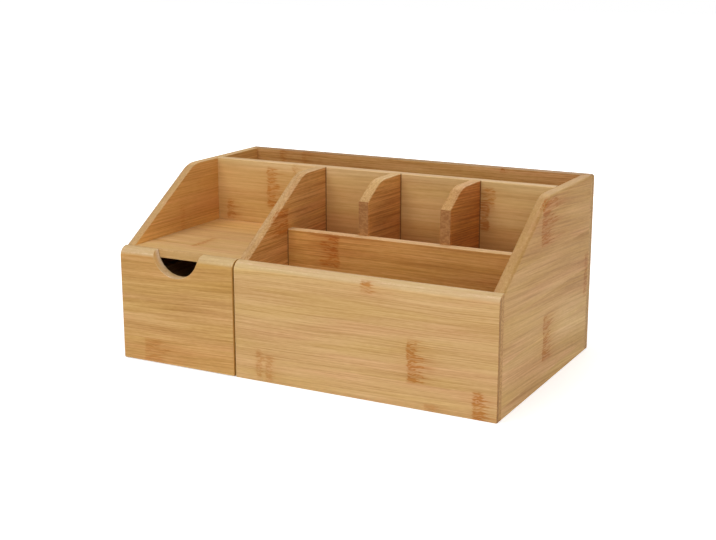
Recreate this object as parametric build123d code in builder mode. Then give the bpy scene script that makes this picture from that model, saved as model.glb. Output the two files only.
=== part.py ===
"""Desk organizer for cosmetics, glued up from laminated bamboo boards, with one drawer on the left.

X runs to the right along the front, Y to the back and Z up. The origin is on the table, under the
middle of the organizer with its drawer shut. All sizes are in millimetres.
"""

import os

from build123d import *

os.makedirs("parts", exist_ok=True)

# Overall size, and the board that nearly every wall is sawn from
overall_width = 330.0
carcass_depth = 205.0
overall_height = 149.0
board = 8.5
base_thickness = 6.0
shelf_thickness = 7.0
drawer_board = 7.0
drawer_bottom_thickness = 3.0

# Low front, and the slope that climbs from it to the level back part of the walls
front_height = 94.0
slope_run = 96.0
slope_corner_radius = 25.0

# Places of the inner boards, from the left face or from the front face of the fixed front panel
partition_from_left = 109.5
rear_divider_from_front = 131.0
low_divider_from_front = 67.5
low_divider_height = 107.5

# Sanded edges: the tops of the front boards are rounded nearly through, the outer walls on their outside
front_rounding = 7.5
outer_rounding = 2.5
eased_edge = 0.8
fine_edge = 0.5

# Glued joints: tongues in grooves, boards housed in each other, and dowels where ends are covered
housing_depth = 2.5
tongue_thickness = 4.5
tongue_stop_below_top = 12.0
dowel_diameter = 5.0
dowel_depth_in_face = 5.5
dowel_depth_in_end = 18.5
front_dowel_heights = (24.0, 68.0)
back_dowel_heights = (22.0, 75.0, 128.0)
drawer_dowel_diameter = 4.0
drawer_dowel_heights = (16.0, 50.0)

# Running clearances of the drawer, and the half-round finger notch in its front
drawer_gap = 0.5
seam = 1.0
drawer_lift = 0.5
drawer_back_gap = 1.5
drawer_box_height = 64.0
drawer_groove_height = 4.0
notch_radius = 22.0
notch_centre_above_top = 1.5
notch_corner_radius = 2.5

# Planes of the finished organizer, worked out from the sizes above
left = -overall_width / 2
right = overall_width / 2
drawer_face = -(carcass_depth + drawer_gap) / 2
front = drawer_face + drawer_gap
back = front + carcass_depth
inner_left = left + board
inner_right = right - board
walls_front = front + board
walls_back = back - board
partition_left = left + partition_from_left
partition_right = partition_left + board
rear_divider_front = front + rear_divider_from_front
rear_divider_back = rear_divider_front + board
low_divider_front = front + low_divider_from_front
low_divider_back = low_divider_front + board
slope_corner = front + slope_run
shelf_bottom = front_height - shelf_thickness
bay_width = (inner_right - partition_right - 2 * board) / 3
short_divider_lefts = [partition_right + bay_width, partition_right + 2 * bay_width + board]
tongue_top = overall_height - tongue_stop_below_top


def centred(middle, width):
    """The low and high limits of a width about its middle."""
    return (middle - width / 2, middle + width / 2)


def block(x_limits, y_limits, z_limits, mode=Mode.ADD):
    """A square-cut block between limits along each axis, added to the piece in hand or cut from it."""
    limits = (x_limits, y_limits, z_limits)
    with Locations(tuple(sum(pair) / 2 for pair in limits)):
        Box(*[high - low for low, high in limits], mode=mode)


def rod(centre, direction, length, diameter, mode=Mode.ADD):
    """A round rod that starts at a point and runs along a direction, or the hole for one."""
    with BuildSketch(Plane(origin=centre, z_dir=direction)) as section:
        Circle(diameter / 2)
    extrude(section.sketch, amount=length, mode=mode)


def slope_height(y):
    """Height of the straight slope above the table, at a place along the depth."""
    return front_height + (overall_height - front_height) * (y - walls_front) / (slope_corner - walls_front)


def sloped_wall(x, y_from, y_to, foot):
    """A wall one board thick, low in front, with a slope, a rounded corner and a level top."""
    with BuildSketch(Plane.YZ.offset(x)) as profile:
        with BuildLine():
            Polyline(
                (y_from, foot),
                (y_to, foot),
                (y_to, overall_height),
                (slope_corner, overall_height),
                (y_from, slope_height(y_from)),
                close=True,
            )
        make_face()
        corner = profile.vertices().sort_by_distance((slope_corner, overall_height))[0]
        fillet(corner, slope_corner_radius)
    extrude(profile.sketch, amount=board)


def edges_above(piece, height, across=Axis.X):
    """Edges of a piece whose middle lies above a height, without those that cross its thickness."""
    return piece.edges().filter_by(across, reverse=True).filter_by(lambda edge: edge.center().Z > height)


# Joints that two boards share, each as the limits of its tongue and of the groove for it
rear_divider_middle = (rear_divider_front + rear_divider_back) / 2
low_divider_middle = (low_divider_front + low_divider_back) / 2
partition_middle = (partition_left + partition_right) / 2
rear_tongue_y = centred(rear_divider_middle, tongue_thickness)
low_tongue_y = centred(low_divider_middle, tongue_thickness)
back_tongue_y = (rear_divider_front, rear_divider_front + housing_depth)
tall_tongue_z = (base_thickness, tongue_top)
low_tongue_z = (base_thickness, low_divider_height - tongue_stop_below_top)
tongue_rear_to_left = ((inner_left - housing_depth, inner_left), rear_tongue_y, tall_tongue_z)
tongue_rear_to_right = ((inner_right, inner_right + housing_depth), rear_tongue_y, tall_tongue_z)
tongue_low_to_partition = ((partition_right - housing_depth, partition_right), low_tongue_y, low_tongue_z)
tongue_low_to_right = ((inner_right, inner_right + housing_depth), low_tongue_y, low_tongue_z)
tongue_partition_to_rear = (centred(partition_middle, tongue_thickness), back_tongue_y, tall_tongue_z)
tongues_short_to_rear = [
    (centred(x + board / 2, tongue_thickness), back_tongue_y, tall_tongue_z) for x in short_divider_lefts
]
shelf_y = (walls_front, rear_divider_front)
shelf_tongue_x = (inner_left - housing_depth, partition_left + housing_depth)
shelf_tongue_z = (shelf_bottom, shelf_bottom + shelf_thickness / 2)
base_x = (inner_left - housing_depth, inner_right + housing_depth)
base_y = (walls_front, walls_back)
base_z = (0, base_thickness)

# Dowels that hold the covered ends: front panel to partition and right side, back panel to sides
front_dowel_places = [(x, z) for x in (partition_middle, right - board / 2) for z in front_dowel_heights]
back_dowel_places = [(x, z) for x in (left + board / 2, right - board / 2) for z in back_dowel_heights]
front_dowel_y = (walls_front - dowel_depth_in_face, walls_front + dowel_depth_in_end)
back_dowel_y = (walls_back - dowel_depth_in_end, walls_back + dowel_depth_in_face)


def rods_along_depth(places, y_limits, diameter, mode=Mode.ADD):
    """Equal rods along the depth at several places across the front, or the holes for them."""
    for x, z in places:
        rod((x, y_limits[0], z), (0, 1, 0), y_limits[1] - y_limits[0], diameter, mode)


# Base: one thin panel under everything, let into the side panels at their lower edges
with BuildPart() as base_panel:
    block(base_x, base_y, base_z)
base_panel.part.label = "base_panel"
export_step(base_panel.part, "parts/base_panel.step")

# Left side: outer wall of the shelf bay and of the drawer, its front end covered by the drawer front
with BuildPart() as left_side_panel:
    sloped_wall(left, walls_front, walls_back, 0)
    fillet(edges_above(left_side_panel, front_height).group_by(Axis.X)[0], outer_rounding)
    fillet(edges_above(left_side_panel, front_height).group_by(Axis.X)[-1], eased_edge)
    block(base_x, base_y, base_z, Mode.SUBTRACT)
    block(*tongue_rear_to_left, Mode.SUBTRACT)
    block(shelf_tongue_x, shelf_y, shelf_tongue_z, Mode.SUBTRACT)
    rods_along_depth(back_dowel_places, back_dowel_y, dowel_diameter, Mode.SUBTRACT)
left_side_panel.part.label = "left_side_panel"
export_step(left_side_panel.part, "parts/left_side_panel.step")

# Right side: outer wall of the open bays, its ends covered by the front and back panels
with BuildPart() as right_side_panel:
    sloped_wall(inner_right, walls_front, walls_back, 0)
    fillet(edges_above(right_side_panel, front_height).group_by(Axis.X)[-1], outer_rounding)
    fillet(edges_above(right_side_panel, front_height).group_by(Axis.X)[0], eased_edge)
    block(base_x, base_y, base_z, Mode.SUBTRACT)
    block(*tongue_rear_to_right, Mode.SUBTRACT)
    block(*tongue_low_to_right, Mode.SUBTRACT)
    rods_along_depth(front_dowel_places, front_dowel_y, dowel_diameter, Mode.SUBTRACT)
    rods_along_depth(back_dowel_places, back_dowel_y, dowel_diameter, Mode.SUBTRACT)
right_side_panel.part.label = "right_side_panel"
export_step(right_side_panel.part, "parts/right_side_panel.step")

# Partition: the same profile again, between the drawer with its shelf and the open bays
with BuildPart() as partition:
    sloped_wall(partition_left, walls_front, rear_divider_front, base_thickness)
    fillet(edges_above(partition, front_height), eased_edge)
    block(*tongue_partition_to_rear)
    block(shelf_tongue_x, shelf_y, shelf_tongue_z, Mode.SUBTRACT)
    block(*tongue_low_to_partition, Mode.SUBTRACT)
    rods_along_depth(front_dowel_places, front_dowel_y, dowel_diameter, Mode.SUBTRACT)
partition.part.label = "partition"
export_step(partition.part, "parts/partition.step")

# Back: full width and height, over the back ends of both side panels
with BuildPart() as back_panel:
    block((inner_left, inner_right), (walls_back, back), (0, overall_height))
    fillet(back_panel.faces().sort_by(Axis.Z)[-1].edges().sort_by(Axis.Y)[0], eased_edge)
    for end_x in ((left, inner_left), (inner_right, right)):
        block(end_x, (walls_back, back), (0, overall_height))
    end_top_edges = back_panel.faces().sort_by(Axis.Z)[-1].edges().filter_by(Axis.Y).sort_by(Axis.X)
    fillet([end_top_edges[0], end_top_edges[-1]], outer_rounding)
    fillet(back_panel.faces().sort_by(Axis.Y)[-1].edges(), eased_edge)
    rods_along_depth(back_dowel_places, back_dowel_y, dowel_diameter, Mode.SUBTRACT)
back_panel.part.label = "back_panel"
export_step(back_panel.part, "parts/back_panel.step")

# Rear divider: from side to side, in front of the long tray along the back
with BuildPart() as rear_divider:
    rear_divider_y = (rear_divider_front, rear_divider_back)
    block((inner_left, inner_right), rear_divider_y, (base_thickness, overall_height))
    fillet(rear_divider.faces().sort_by(Axis.Z)[-1].edges().filter_by(Axis.X), eased_edge)
    block(*tongue_rear_to_left)
    block(*tongue_rear_to_right)
    block(*tongue_partition_to_rear, Mode.SUBTRACT)
    for tongue in tongues_short_to_rear:
        block(*tongue, Mode.SUBTRACT)
rear_divider.part.label = "rear_divider"
export_step(rear_divider.part, "parts/rear_divider.step")

# Low divider: across the open bays, a little higher than the front panel
with BuildPart() as low_divider:
    low_divider_y = (low_divider_front, low_divider_back)
    block((partition_right, inner_right), low_divider_y, (base_thickness, low_divider_height))
    fillet(low_divider.faces().sort_by(Axis.Z)[-1].edges().filter_by(Axis.X), eased_edge)
    block(*tongue_low_to_partition)
    block(*tongue_low_to_right)
    for x in short_divider_lefts:
        housing_y = (low_divider_back - housing_depth, low_divider_back)
        block((x, x + board), housing_y, (base_thickness, low_divider_height), Mode.SUBTRACT)
low_divider.part.label = "low_divider"
export_step(low_divider.part, "parts/low_divider.step")

# Short dividers: between the low divider and the rear divider, they make the three back bays
for side, x, tongue in zip(("left", "right"), short_divider_lefts, tongues_short_to_rear):
    with BuildPart() as short_divider:
        sloped_wall(x, low_divider_back - housing_depth, rear_divider_front, base_thickness)
        fillet(edges_above(short_divider, front_height), eased_edge)
        block(*tongue)
    short_divider.part.label = f"short_divider_{side}"
    export_step(short_divider.part, f"parts/short_divider_{side}.step")

# Front panel: fixed, over the front ends of the partition and the right side panel
with BuildPart() as front_panel:
    block((partition_left, right), (front, walls_front), (0, front_height))
    top_front_edge = front_panel.faces().sort_by(Axis.Y)[0].edges().sort_by(Axis.Z)[-1]
    fillet(top_front_edge, front_rounding)
    fillet(front_panel.faces().sort_by(Axis.Y)[0].edges().sort_by(Axis.Z)[:-1], fine_edge)
    rods_along_depth(front_dowel_places, front_dowel_y, dowel_diameter, Mode.SUBTRACT)
front_panel.part.label = "front_panel"
export_step(front_panel.part, "parts/front_panel.step")

# Shelf: roof of the drawer and floor of the bay above it, with a tongue along both ends
with BuildPart() as shelf:
    block((inner_left, partition_left), shelf_y, (shelf_bottom, front_height))
    block(shelf_tongue_x, shelf_y, shelf_tongue_z)
shelf.part.label = "shelf"
export_step(shelf.part, "parts/shelf.step")

# Dowels of the carcass, glued in blind holes
with BuildPart() as front_dowels:
    rods_along_depth(front_dowel_places, front_dowel_y, dowel_diameter)
front_dowels.part.label = "front_dowels"
export_step(front_dowels.part, "parts/front_dowels.step")

with BuildPart() as back_dowels:
    rods_along_depth(back_dowel_places, back_dowel_y, dowel_diameter)
back_dowels.part.label = "back_dowels"
export_step(back_dowels.part, "parts/back_dowels.step")

# Planes of the drawer, which slides on the base between the left side and the partition
drawer_left = inner_left + drawer_gap
drawer_right = partition_left - drawer_gap
drawer_front_back = drawer_face + board
drawer_end = rear_divider_front - drawer_back_gap
drawer_floor = base_thickness + drawer_lift
drawer_top = drawer_floor + drawer_box_height
drawer_front_right = partition_left - seam
notch_x = (left + drawer_front_right) / 2
groove_bottom = drawer_floor + drawer_groove_height
groove_z = (groove_bottom, groove_bottom + drawer_bottom_thickness)
drawer_bottom_x = (drawer_left + drawer_board - housing_depth, drawer_right - drawer_board + housing_depth)
drawer_bottom_y = (drawer_front_back - housing_depth, drawer_end - drawer_board + housing_depth)
drawer_back_y = (drawer_end - drawer_board, drawer_end)
drawer_dowel_xs = (drawer_left + drawer_board / 2, drawer_right - drawer_board / 2)
drawer_dowel_places = [(x, drawer_floor + z) for x in drawer_dowel_xs for z in drawer_dowel_heights]
drawer_dowel_y = (drawer_front_back - dowel_depth_in_face, drawer_front_back + dowel_depth_in_end)

# Drawer front: covers the end of the left side panel, with a half-round notch for the finger
with BuildPart() as drawer_front:
    block((left, drawer_front_right), (drawer_face, drawer_front_back), (drawer_lift, front_height))
    top_front_edge = drawer_front.faces().sort_by(Axis.Y)[0].edges().sort_by(Axis.Z)[-1]
    fillet(top_front_edge, front_rounding)
    fillet(drawer_front.faces().sort_by(Axis.Y)[0].edges().sort_by(Axis.Z)[:-1], fine_edge)
    with BuildSketch(Plane.XZ.offset(-drawer_front_back)) as notch:
        with Locations((notch_x, front_height + notch_centre_above_top)):
            Circle(notch_radius)
        with Locations((notch_x, front_height + board / 2)):
            Rectangle(2 * notch_radius + 2 * board, board)
        mouth = notch.vertices().sort_by_distance((notch_x, front_height))[:2]
        fillet(mouth, notch_corner_radius)
    extrude(notch.sketch, amount=board, mode=Mode.SUBTRACT)
    block(drawer_bottom_x, drawer_bottom_y, groove_z, Mode.SUBTRACT)
    rods_along_depth(drawer_dowel_places, drawer_dowel_y, drawer_dowel_diameter, Mode.SUBTRACT)
drawer_front.part.label = "drawer_front"
export_step(drawer_front.part, "parts/drawer_front.step")

# Drawer sides: doweled to the front, grooved for the bottom and rebated for the back
for side, x_limits in (
    ("left", (drawer_left, drawer_left + drawer_board)),
    ("right", (drawer_right - drawer_board, drawer_right)),
):
    with BuildPart() as drawer_side:
        block(x_limits, (drawer_front_back, drawer_end), (drawer_floor, drawer_top))
        fillet(drawer_side.faces().sort_by(Axis.Z)[-1].edges().filter_by(Axis.Y), eased_edge)
        block(drawer_bottom_x, drawer_bottom_y, groove_z, Mode.SUBTRACT)
        block(drawer_bottom_x, drawer_back_y, (drawer_floor, drawer_top), Mode.SUBTRACT)
        rods_along_depth(drawer_dowel_places, drawer_dowel_y, drawer_dowel_diameter, Mode.SUBTRACT)
    drawer_side.part.label = f"drawer_{side}_side"
    export_step(drawer_side.part, f"parts/drawer_{side}_side.step")

# Drawer back: between the sides, let into their rebates
with BuildPart() as drawer_back:
    block(drawer_bottom_x, drawer_back_y, (drawer_floor, drawer_top))
    fillet(drawer_back.faces().sort_by(Axis.Z)[-1].edges().filter_by(Axis.X), eased_edge)
    block(drawer_bottom_x, drawer_bottom_y, groove_z, Mode.SUBTRACT)
drawer_back.part.label = "drawer_back"
export_step(drawer_back.part, "parts/drawer_back.step")

# Drawer bottom: a thin panel held in a groove all round
with BuildPart() as drawer_bottom:
    block(drawer_bottom_x, drawer_bottom_y, groove_z)
drawer_bottom.part.label = "drawer_bottom"
export_step(drawer_bottom.part, "parts/drawer_bottom.step")

with BuildPart() as drawer_dowels:
    rods_along_depth(drawer_dowel_places, drawer_dowel_y, drawer_dowel_diameter)
drawer_dowels.part.label = "drawer_dowels"
export_step(drawer_dowels.part, "parts/drawer_dowels.step")
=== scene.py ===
"""A cosmetic organizer of laminated bamboo boards, with one drawer under a shelf on the left."""

import math

import bmesh
import bpy
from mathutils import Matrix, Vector


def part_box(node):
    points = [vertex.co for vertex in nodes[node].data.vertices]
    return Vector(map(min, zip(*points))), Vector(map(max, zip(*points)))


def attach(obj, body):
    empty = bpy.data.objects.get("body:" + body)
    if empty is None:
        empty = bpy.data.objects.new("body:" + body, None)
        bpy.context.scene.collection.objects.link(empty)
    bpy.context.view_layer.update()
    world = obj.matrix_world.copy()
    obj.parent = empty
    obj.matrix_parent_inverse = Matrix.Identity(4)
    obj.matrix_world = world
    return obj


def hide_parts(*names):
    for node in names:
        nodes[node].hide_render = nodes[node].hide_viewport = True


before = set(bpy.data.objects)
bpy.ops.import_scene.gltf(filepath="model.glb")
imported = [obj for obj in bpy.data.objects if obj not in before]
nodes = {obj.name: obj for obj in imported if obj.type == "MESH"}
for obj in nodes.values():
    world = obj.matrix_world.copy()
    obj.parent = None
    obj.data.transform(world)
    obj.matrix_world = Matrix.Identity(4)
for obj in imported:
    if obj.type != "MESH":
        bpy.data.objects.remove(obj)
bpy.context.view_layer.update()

mm = 0.001


# Base panel. One thin sheet of laminated bamboo under everything, with its grain along the width.
# It is let into the side panels at their lower edges and glued, and the drawer slides on it.


def add_node(tree, kind, inputs=None, **settings):
    """Adds a shader node. An input is given a value, or is linked where it is given an output."""
    made = tree.nodes.new("ShaderNode" + kind)
    for name, value in settings.items():
        setattr(made, name, value)
    for name, value in (inputs or {}).items():
        if isinstance(value, bpy.types.NodeSocket):
            tree.links.new(value, made.inputs[name])
        else:
            made.inputs[name].default_value = value
    return made


def calculate(tree, operation, a, b=0.0, c=0.0):
    """A sum on one or two numbers of the pattern, and three for a multiply and add."""
    return add_node(tree, "Math", {0: a, 1: b, 2: c}, operation=operation).outputs[0]


def fade(tree, value, start, end):
    """A number that climbs smoothly from 0, at start, to 1, at end, or falls where end is below start."""
    inputs = {"Value": value, "From Min": start, "From Max": end}
    if isinstance(start, float) and isinstance(end, float) and end < start:
        inputs = {"Value": value, "From Min": end, "From Max": start, "To Min": 1.0, "To Max": 0.0}
    return add_node(tree, "MapRange", inputs, interpolation_type="SMOOTHSTEP").outputs[0]


def cloud(tree, place, waves, detail=2.0, roughness=0.5):
    """Soft noise from 0 to 1. Waves are how many it has along each axis in one unit of the place."""
    stretched = add_node(tree, "VectorMath", {0: place, 1: waves}, operation="MULTIPLY").outputs[0]
    inputs = {"Vector": stretched, "Scale": 1.0, "Detail": detail, "Roughness": roughness}
    return add_node(tree, "TexNoise", inputs).outputs["Fac"]


def blend_colours(tree, share, a, b, way="MIX"):
    """One colour over another, by a share from 0 to 1."""
    made = add_node(tree, "Mix", data_type="RGBA", blend_type=way)
    for index, value in ((0, share), (6, a), (7, b)):
        if isinstance(value, bpy.types.NodeSocket):
            tree.links.new(value, made.inputs[index])
        else:
            made.inputs[index].default_value = value
    return made.outputs[2]


def new_group(name, inputs, outputs):
    """An empty node group with its sockets, and its input and output nodes."""
    group = bpy.data.node_groups.new(name, "ShaderNodeTree")
    for in_out, sockets in (("INPUT", inputs), ("OUTPUT", outputs)):
        for socket, kind in sockets.items():
            group.interface.new_socket(socket, in_out=in_out, socket_type="NodeSocket" + kind)
    return group, group.nodes.new("NodeGroupInput").outputs, group.nodes.new("NodeGroupOutput").inputs


# The colours of the bamboo. The sloped top and the end hollows only tint others.
dark_streak = (0.440, 0.228, 0.072, 1)
plain_bamboo = (0.592, 0.355, 0.144, 1)
light_streak = (0.735, 0.490, 0.245, 1)
pink_patch = (0.640, 0.340, 0.170, 1)
yellow_patch = (0.585, 0.370, 0.118, 1)
sloped_top = (0.74, 0.69, 0.61, 1)
end_grain = (0.585, 0.350, 0.142, 1)
end_hollows = (0.74, 0.66, 0.56, 1)
# The glue between the plies, and the dark lines painted along the joints of the dividers.
glue_and_seam_brown = (0.210, 0.085, 0.018, 1)
node_brown = (0.455, 0.178, 0.036, 1)

# The pattern's sizes in millimetres, and its shares from 0 to 1.
strip_width = 32.0
strip_shift_of_ply = 0.43
edge_sanding_and_light = 0.8
seam_half, seam_blur, seam_blur_inward, seam_strength = 0.5, 0.4, 0.3, 0.9


def ratio_of(colour):
    """A colour as a ratio to plain bamboo, so that it tints the pattern and keeps it."""
    return tuple(value / plain for value, plain in zip(colour[:3], plain_bamboo[:3])) + (1,)


def add_up(tree, parts, total=0.5):
    """Several noises about their middle, each with its strength, on top of a level."""
    for pattern, strength in parts:
        total = calculate(tree, "MULTIPLY_ADD", calculate(tree, "SUBTRACT", pattern, 0.5), strength, total)
    return total


def make_grain():
    """Laminated bamboo at a place in millimetres: along the grain, across the strips, through the plies."""
    tree, given, result = new_group(
        "laminated bamboo",
        {
            "Place": "Vector", "Facing": "Vector", "Shift": "Vector", "Strip start": "Float",
            "Ply line": "Float", "Lean": "Float", "Contrast": "Float", "Fineness": "Float", "Bands": "Float",
            "Patches": "Float", "Tint": "Color", "End colour": "Color", "End depth": "Float",
            "Edge tone and light": "Color", "Slope": "Float",
        },
        {"Color": "Color", "Height": "Float", "Streak": "Float"},
    )
    axes = add_node(tree, "SeparateXYZ", {0: given["Place"]}).outputs
    facing = add_node(tree, "SeparateXYZ", {0: given["Facing"]}).outputs

    # Every strip of every ply is a lot of its own, with its own tone.
    ply = calculate(tree, "GREATER_THAN", axes[2], given["Ply line"])
    from_start = calculate(tree, "SUBTRACT", axes[1], given["Strip start"])
    strips = calculate(tree, "DIVIDE", from_start, strip_width)
    strip = calculate(tree, "FLOOR", calculate(tree, "MULTIPLY_ADD", ply, strip_shift_of_ply, strips))
    cell = add_node(tree, "CombineXYZ", {0: strip, 1: ply}).outputs[0]
    cell = add_node(tree, "VectorMath", {0: cell, 1: given["Shift"]}, operation="ADD").outputs[0]
    lot = add_node(tree, "TexWhiteNoise", {"Vector": cell}, noise_dimensions="3D").outputs
    lots = add_node(tree, "SeparateColor", {0: lot["Color"]}).outputs

    # The fibres wander and lean a little, and are other ones in every lot.
    wander_across, lot_stretch = 5.0, 700.0
    wander = cloud(tree, given["Place"], (0.006, 0.014, 0.014), 1.0)
    across = calculate(tree, "MULTIPLY_ADD", wander, wander_across, axes[1])
    across = calculate(tree, "MULTIPLY_ADD", axes[0], given["Lean"], across)
    along = calculate(tree, "MULTIPLY_ADD", lots[0], lot_stretch, axes[0])
    across, inward = [calculate(tree, "MULTIPLY", way, given["Fineness"]) for way in (across, axes[2])]
    place = add_node(tree, "CombineXYZ", {0: along, 1: across, 2: inward}).outputs[0]
    place = add_node(tree, "VectorMath", {0: place, 1: given["Shift"]}, operation="ADD").outputs[0]
    fibres = cloud(tree, place, (0.014, 1.15, 1.15), 2.0, 0.6)
    flecks = cloud(tree, place, (0.16, 1.30, 1.30), 1.0, 0.5)
    streaks = cloud(tree, place, (0.011, 0.60, 0.60), 2.0, 0.6)
    lines = cloud(tree, place, (0.007, 0.75, 0.75), 1.0, 0.5)
    bands = cloud(tree, place, (0.005, 0.08, 0.08), 1.0, 0.5)
    patches = cloud(tree, place, (0.008, 0.09, 0.09), 2.0, 0.5)

    # They add up to a tone, from dark streaks to light ones, with patches of a warmer and a yellower hue.
    line_depth, middle_tone, lot_contrast = 0.15, 0.52, 0.14
    tone = add_up(tree, ((fibres, 1.25), (flecks, 0.4), (streaks, 0.55), (bands, given["Bands"])), 0.0)
    tone = calculate(tree, "MULTIPLY_ADD", fade(tree, lines, 0.55, 0.72), -line_depth, tone)
    tone = calculate(tree, "MULTIPLY_ADD", tone, given["Contrast"], middle_tone)
    tone = add_up(tree, ((lots[1], lot_contrast),), tone)
    ramp = add_node(tree, "ValToRGB", {"Fac": tone})
    ramp.color_ramp.elements[0].color = dark_streak
    ramp.color_ramp.elements[1].color = light_streak
    ramp.color_ramp.elements.new(0.5).color = plain_bamboo
    colour = ramp.outputs["Color"]
    for patch, start, end in ((pink_patch, 0.50, 0.68), (yellow_patch, 0.50, 0.34)):
        share = calculate(tree, "MULTIPLY", fade(tree, patches, start, end), given["Patches"])
        patched = blend_colours(tree, 1.0, colour, ratio_of(patch), "MULTIPLY")
        colour = blend_colours(tree, share, colour, patched)

    # A face that looks across the strips is a sanded edge: plainer, with pores, and darker on a slope.
    # Its edge colour is partly the paler sanded wood and partly painted light: a whitish painted highlight
    # on most tops, and painted shade on a few, such as the back panel's.
    upward = calculate(tree, "ABSOLUTE", facing[1])
    pale = calculate(tree, "MULTIPLY", fade(tree, upward, 0.15, 0.55), edge_sanding_and_light)
    pores = cloud(tree, given["Place"], (0.45, 0.45, 0.9), 2.0, 0.6)
    sanded_and_lit = blend_colours(tree, fade(tree, pores, 0.62, 0.36), colour, plain_bamboo)
    sanded_and_lit = blend_colours(tree, 1.0, sanded_and_lit, given["Edge tone and light"], "MULTIPLY")
    slant = calculate(tree, "ABSOLUTE", calculate(tree, "DIVIDE", facing[0], facing[1]))
    sloped = calculate(tree, "MULTIPLY", fade(tree, slant, 0.12, 0.50), given["Slope"])
    sanded_and_lit = blend_colours(tree, sloped, sanded_and_lit, blend_colours(tree, 1.0, sanded_and_lit, sloped_top, "MULTIPLY"))
    colour = blend_colours(tree, 1.0, colour, given["Tint"], "MULTIPLY")
    colour = blend_colours(tree, pale, colour, sanded_and_lit)

    # A face that looks along the grain shows the ends of the fibre bundles, and the glue between the plies.
    endwise = fade(tree, calculate(tree, "ABSOLUTE", facing[0]), 0.5, 0.95)
    bundles = cloud(tree, given["Place"], (0.2, 0.55, 0.35), 2.0, 0.6)
    ends = blend_colours(tree, given["End depth"], given["End colour"], end_hollows, "MULTIPLY")
    ends = blend_colours(tree, fade(tree, bundles, 0.38, 0.64), ends, given["End colour"])
    from_line = calculate(tree, "ABSOLUTE", calculate(tree, "SUBTRACT", axes[2], given["Ply line"]))
    line = calculate(tree, "MULTIPLY", fade(tree, from_line, 0.55, 0.15), fade(tree, bundles, 0.25, 0.55))
    ends = blend_colours(tree, line, ends, glue_and_seam_brown)
    colour = blend_colours(tree, endwise, colour, ends)

    tree.links.new(colour, result["Color"])
    tree.links.new(add_up(tree, ((fibres, 0.6), (streaks, 0.4))), result["Height"])
    tree.links.new(streaks, result["Streak"])
    return tree


def make_node_mark():
    """Where a joint of the stalk crossed a strip: a row of short brown dashes, crisp on one side only."""
    floats = ("Start", "Length", "Way", "Low", "High", "Surface", "Strength")
    tree, given, result = new_group(
        "node mark", {"Place": "Vector", **{name: "Float" for name in floats}}, {"Mask": "Float"}
    )
    axes = add_node(tree, "SeparateXYZ", {0: given["Place"]}).outputs

    # How far a place lies past the joint, which bends a little.
    joint_bend = 5.0
    bend = calculate(tree, "SUBTRACT", cloud(tree, given["Place"], (0.03, 0.10, 0.10), 1.0), 0.5)
    past = calculate(tree, "MULTIPLY", calculate(tree, "SUBTRACT", axes[0], given["Start"]), given["Way"])
    past = calculate(tree, "MULTIPLY_ADD", bend, joint_bend, past)

    # The dashes. Each row of fibres has its own start and reach, and curls a little.
    row_stagger, row_curl = 5.0, 6.0
    shortest_reach, more_reach, end_of_full = 0.65, 0.7, 0.7
    between_dashes, more_in_dashes = 0.25, 0.78
    rows = cloud(tree, given["Place"], (0.020, 0.62, 0.62), 2.0, 0.6)
    spread = calculate(tree, "MULTIPLY_ADD", fade(tree, rows, 0.38, 0.62), more_reach, shortest_reach)
    reach = calculate(tree, "MULTIPLY", given["Length"], spread)
    ended = fade(tree, past, calculate(tree, "MULTIPLY", reach, end_of_full), reach)
    core = calculate(tree, "SUBTRACT", 1.0, ended)
    ragged = calculate(tree, "MULTIPLY_ADD", rows, row_stagger, past)
    core = calculate(tree, "MULTIPLY", core, fade(tree, ragged, 1.2, 3.4))
    curl = cloud(tree, given["Place"], (0.10, 0.14, 0.14))
    curl = calculate(tree, "MULTIPLY_ADD", curl, row_curl, axes[1])
    share = calculate(tree, "DIVIDE", past, given["Length"])
    dash_place = add_node(tree, "CombineXYZ", {0: share, 1: curl, 2: axes[2]}).outputs[0]
    dashes = fade(tree, cloud(tree, dash_place, (1.3, 0.72, 0.72), 2.0, 0.7), 0.45, 0.56)
    darkness = calculate(tree, "MULTIPLY_ADD", dashes, more_in_dashes, between_dashes)
    core = calculate(tree, "MULTIPLY", core, darkness)

    # Thin feathers beyond the dashes, and a faint glow over both.
    feather_reach, feather_strength = 2.2, 0.5
    glow_middle, glow_strength = 0.6, 0.15
    long_reach = calculate(tree, "MULTIPLY", given["Length"], feather_reach)
    feathers = calculate(tree, "SUBTRACT", 1.0, fade(tree, past, given["Length"], long_reach))
    feathers = calculate(tree, "MULTIPLY", feathers, fade(tree, past, 0.0, 1.0))
    feathers = calculate(tree, "MULTIPLY", feathers, fade(tree, rows, 0.52, 0.62))
    mask = calculate(tree, "MAXIMUM", core, calculate(tree, "MULTIPLY", feathers, feather_strength))
    away = calculate(tree, "MULTIPLY_ADD", given["Length"], -glow_middle, past)
    away = calculate(tree, "ABSOLUTE", away)
    glow = calculate(tree, "SUBTRACT", 1.0, fade(tree, away, 0.0, long_reach))
    mask = calculate(tree, "MULTIPLY_ADD", glow, glow_strength, mask)

    # All of it stays within its own strip, and close under the face where it shows.
    side_bend, side_blur = 3.0, 2.2
    full_depth, last_depth = 2.4, 3.2
    across = calculate(tree, "MULTIPLY_ADD", bend, side_bend, axes[1])
    for edge, way in ((given["Low"], 1.0), (given["High"], -1.0)):
        inside = calculate(tree, "MULTIPLY", calculate(tree, "SUBTRACT", across, edge), way)
        mask = calculate(tree, "MULTIPLY", mask, fade(tree, inside, -side_blur, side_blur))
    depth = calculate(tree, "ABSOLUTE", calculate(tree, "SUBTRACT", axes[2], given["Surface"]))
    mask = calculate(tree, "MULTIPLY", mask, fade(tree, depth, last_depth, full_depth))
    tree.links.new(calculate(tree, "MULTIPLY", mask, given["Strength"]), result["Mask"])
    return tree


grain_pattern = make_grain()
node_mark = make_node_mark()


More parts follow.
